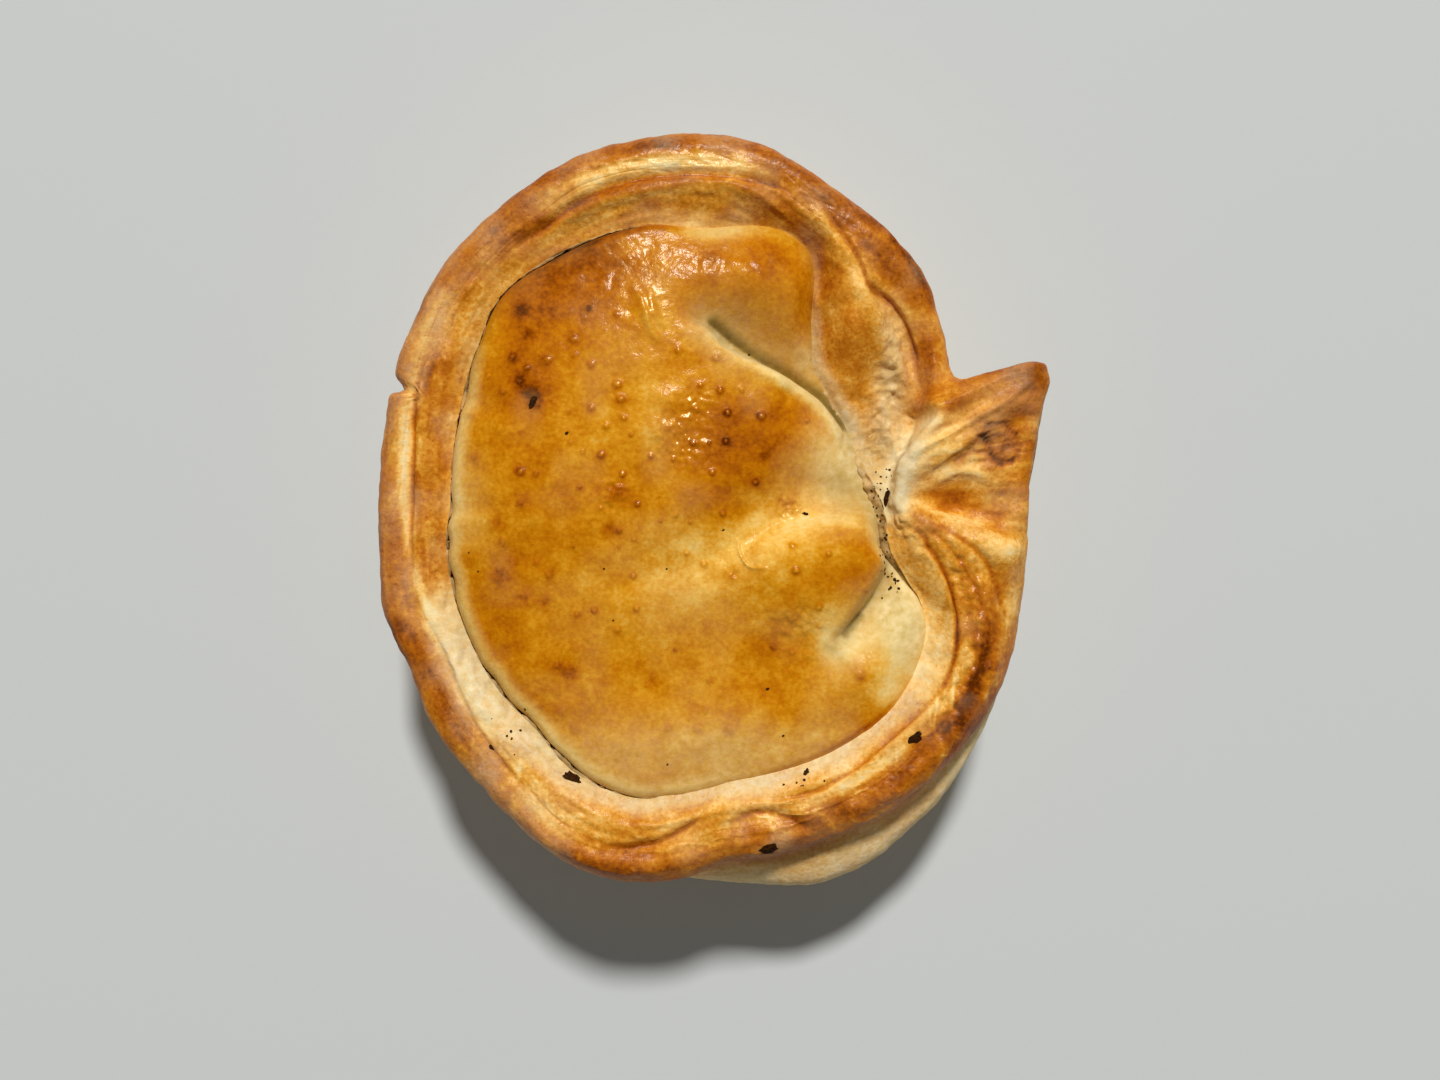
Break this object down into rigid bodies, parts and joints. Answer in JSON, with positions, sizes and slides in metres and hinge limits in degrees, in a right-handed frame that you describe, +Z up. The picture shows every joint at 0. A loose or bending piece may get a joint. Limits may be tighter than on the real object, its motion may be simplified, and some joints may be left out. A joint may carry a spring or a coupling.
{
  "type": "round savoury pie",
  "caption": "Small hand-made savoury pie: raised pastry case with a folded rim, a pinched ear at one side and a puffed, egg-washed lid sunk inside the rim.",
  "frame": {"origin": "centre of the bounding box at the height of the flat base", "axes": "+Z up, +Y along the pie's longest way, +X towards the pinched ear"},
  "size_m": [0.1078, 0.1228, 0.04],
  "materials": {
    "case_pastry": "baked shortcrust, browned on the rim and pale on the wall, satin",
    "lid_pastry": "egg-washed puff pastry, golden brown, glossy and blistered"
  },
  "bodies": {
    "root": {"pastry_case": "case_pastry", "pastry_lid": "lid_pastry"}
  },
  "joints": []
}
